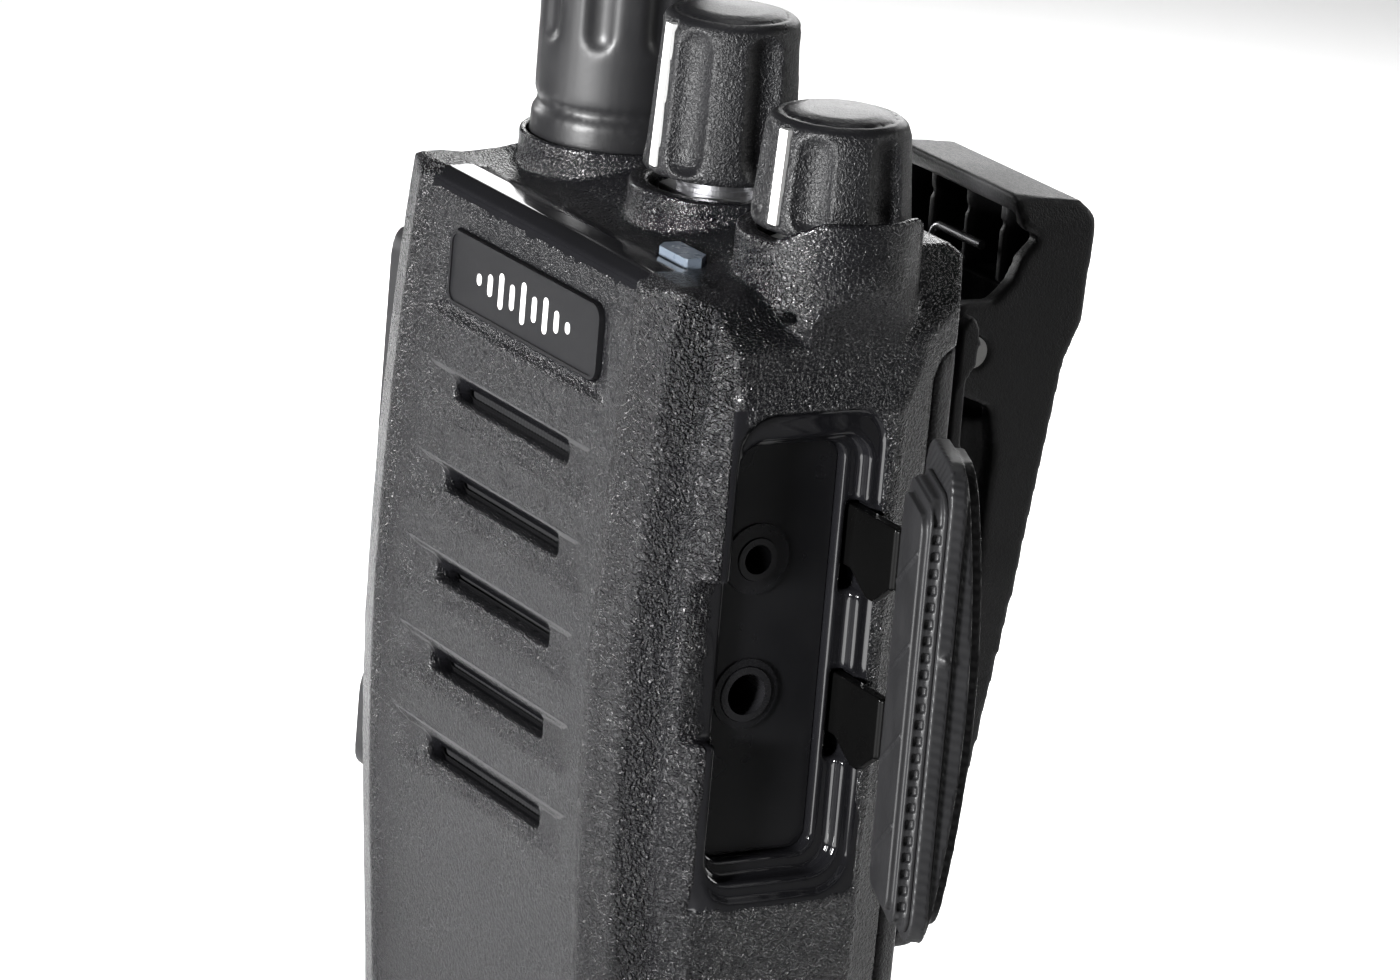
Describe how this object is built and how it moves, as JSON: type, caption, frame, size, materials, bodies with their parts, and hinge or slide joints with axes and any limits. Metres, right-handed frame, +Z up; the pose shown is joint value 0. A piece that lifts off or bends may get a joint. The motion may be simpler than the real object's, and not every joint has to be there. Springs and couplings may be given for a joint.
{
  "type": "portable two-way radio",
  "caption": "Handheld two-way radio with louvred speaker face, stub antenna, channel and volume knobs, side buttons, open accessory jack cover and sprung belt clip.",
  "frame": {"origin": "centre of the flat base that the radio stands on", "axes": "+Z up along the antenna, -Y out of the speaker face, +X out of the accessory jack side"},
  "size_m": [0.0748, 0.0505, 0.205],
  "materials": {
    "case_plastic": "coarse leather-grained moulding",
    "pack_plastic": "leather-grained moulding",
    "knob_plastic": "satin flutes and fine-grained panels",
    "clip_plastic": "fine-grained glass-filled moulding",
    "nameplate_plastic": "satin plate with a printed mark",
    "marker_white": "smooth",
    "light_pipe_plastic": "frosted clear plastic",
    "antenna_rubber": "satin",
    "cover_rubber": "moulded, hatched outside",
    "strap_rubber": "smooth",
    "button_rubber": "moulded",
    "seal_rubber": "smooth",
    "felt_cloth": "fine cloth",
    "jack_plate_plastic": "smooth",
    "jack_plastic": "smooth",
    "magnet_steel": "plated",
    "cone_paper": "pressed paper",
    "capsule_aluminium": "drawn",
    "chassis_metal": "die cast",
    "board_laminate": "solder mask",
    "screw_steel": "zinc plated",
    "pin_steel": "ground",
    "spring_steel": "drawn wire",
    "bush_brass": "nickelled",
    "control_metal": "plated",
    "contact_gilt": "gold plated",
    "cell_wrap": "shrink wrapped can"
  },
  "bodies": {
    "radio": {"antenna_bush": "bush_brass", "antenna_seal": "seal_rubber", "antenna_sheath": "antenna_rubber", "antenna_stud": "bush_brass", "battery_case": "pack_plastic", "battery_cells": "cell_wrap", "battery_lid": "pack_plastic", "battery_pads": "contact_gilt", "button_membrane": "seal_rubber", "button_switches": "control_metal", "case_screws": "screw_steel", "case_seal": "seal_rubber", "channel_switch": "control_metal", "chassis": "chassis_metal", "clip_bracket": "clip_plastic", "clip_pin": "pin_steel", "clip_screws": "screw_steel", "contact_springs": "contact_gilt", "control_nuts": "screw_steel", "control_seals": "seal_rubber", "front_case": "case_plastic", "jack_plate": "jack_plate_plastic", "large_jack": "jack_plastic", "light_pipe": "light_pipe_plastic", "main_board": "board_laminate", "microphone": "capsule_aluminium", "nameplate": "nameplate_plastic", "small_jack": "jack_plastic", "speaker_cone": "cone_paper", "speaker_felt": "felt_cloth", "speaker_frame": "magnet_steel", "switch_board": "board_laminate", "volume_control": "control_metal"},
    "channel_knob": {"channel_knob": "knob_plastic", "channel_marker": "marker_white", "channel_shaft": "control_metal"},
    "volume_knob": {"volume_knob": "knob_plastic", "volume_marker": "marker_white", "volume_shaft": "control_metal"},
    "ptt_button": {"ptt_button": "button_rubber"},
    "upper_side_key": {"upper_side_key": "button_rubber"},
    "lower_side_key": {"lower_side_key": "button_rubber"},
    "cover_tether": {"cover_tether": "strap_rubber"},
    "jack_cover": {"cover_shell": "cover_rubber", "cover_seal": "cover_rubber"},
    "belt_clip": {"belt_clip": "clip_plastic", "clip_spring": "spring_steel"},
    "battery_latch": {"battery_latch": "clip_plastic"}
  },
  "joints": [
    {"name": "channel_turn", "type": "hinge", "parent": "radio", "child": "channel_knob", "pos_m": [0.0034, 0.0002, 0.1127], "axis": [0, 0, 1], "range_deg": [-337.5, 0]},
    {"name": "volume_turn", "type": "hinge", "parent": "radio", "child": "volume_knob", "pos_m": [0.0212, 0.0002, 0.1127], "axis": [0, 0, 1], "range_deg": [-270, 0]},
    {"name": "ptt_press", "type": "slide", "parent": "radio", "child": "ptt_button", "axis": [1, 0, 0], "range_m": [0, 0.0008], "stiffness_N_per_m": 1500, "springref_m": -0.0004},
    {"name": "upper_key_press", "type": "slide", "parent": "radio", "child": "upper_side_key", "axis": [1, 0, 0], "range_m": [0, 0.0006], "stiffness_N_per_m": 1500, "springref_m": -0.0004},
    {"name": "lower_key_press", "type": "slide", "parent": "radio", "child": "lower_side_key", "axis": [1, 0, 0], "range_m": [0, 0.0006], "stiffness_N_per_m": 1500, "springref_m": -0.0004},
    {"name": "tether_pull", "type": "slide", "parent": "radio", "child": "cover_tether", "axis": [1, 0, 0], "range_m": [-0.0076, 0]},
    {"name": "cover_swing", "type": "hinge", "parent": "cover_tether", "child": "jack_cover", "pos_m": [0.0337, 0.0021, 0.078], "axis": [0, 0, 1], "range_deg": [-68, 0]},
    {"name": "clip_squeeze", "type": "hinge", "parent": "radio", "child": "belt_clip", "pos_m": [0, 0.02195, 0.0976], "axis": [1, 0, 0], "range_deg": [0, 20], "stiffness_Nm_per_rad": 0.4, "springref_deg": -20.05},
    {"name": "latch_slide", "type": "slide", "parent": "radio", "child": "battery_latch", "axis": [0, 1, 0], "range_m": [0, 0.0018]}
  ],
  "couplings": [
    {"joint": "cover_swing", "follows": "tether_pull", "rad_per_m": 156.11}
  ]
}
